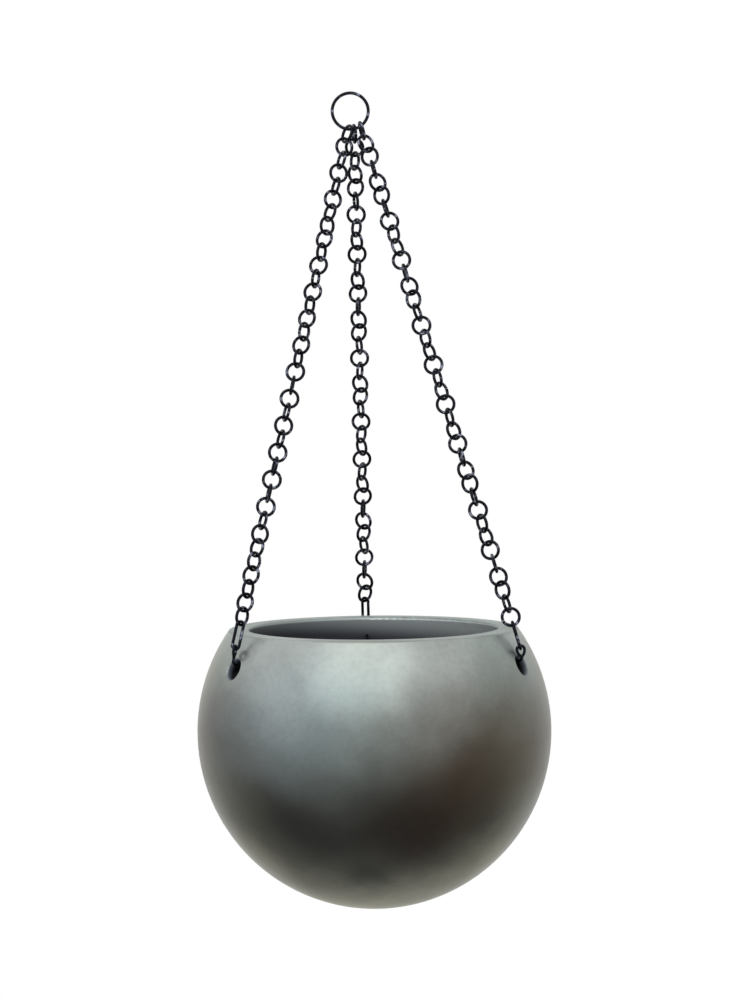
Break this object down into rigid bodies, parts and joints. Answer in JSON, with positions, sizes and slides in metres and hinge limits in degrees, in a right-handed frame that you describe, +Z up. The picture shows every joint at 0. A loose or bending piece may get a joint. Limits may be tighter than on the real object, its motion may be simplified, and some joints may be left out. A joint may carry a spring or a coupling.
{
  "type": "hanging globe planter",
  "caption": "Globe planter with a wide mouth and a flat lip, hung from a small ring by fine link chains that end in wire hooks through holes in its wall.",
  "frame": {"origin": "The inner top of the hanging ring, where it bears on the hook that holds it.", "axes": "+Z up, +X to the right and -Y to the front as the picture shows it. The hanging ring lies in the XZ plane and the pot's lip is level."},
  "size_m": [0.22, 0.22, 0.5037],
  "materials": {
    "glaze": "satin, dark metallic grey glaze with soft cloudy brown and near black patches",
    "wire": "thin black finish on steel wire, faint bluish sheen"
  },
  "bodies": {
    "ring": {"hanging_ring": "wire"},
    "planter": {"globe_pot": "glaze", "left_hook": "wire", "right_hook": "wire", "back_hook": "wire", "left_long_link": "wire", "right_long_link": "wire", "back_long_link": "wire", "left_chain_1": "wire", "left_chain_2": "wire", "left_chain_3": "wire", "left_chain_4": "wire", "left_chain_5": "wire", "left_chain_6": "wire", "left_chain_7": "wire", "left_chain_8": "wire", "left_chain_9": "wire", "left_chain_10": "wire", "left_chain_11": "wire", "left_chain_12": "wire", "right_chain_1": "wire", "right_chain_2": "wire", "right_chain_3": "wire", "right_chain_4": "wire", "right_chain_5": "wire", "right_chain_6": "wire", "right_chain_7": "wire", "right_chain_8": "wire", "right_chain_9": "wire", "right_chain_10": "wire", "right_chain_11": "wire", "right_chain_12": "wire", "back_chain_1": "wire", "back_chain_2": "wire", "back_chain_3": "wire", "back_chain_4": "wire", "back_chain_5": "wire", "back_chain_6": "wire", "back_chain_7": "wire", "back_chain_8": "wire", "back_chain_9": "wire", "back_chain_10": "wire", "back_chain_11": "wire", "back_chain_12": "wire"}
  },
  "joints": [
    {"name": "planter_swing", "type": "hinge", "parent": "ring", "child": "planter", "pos_m": [0, 0, -0.02126], "axis": [1, 0, 0], "range_deg": [-40, 40]}
  ]
}
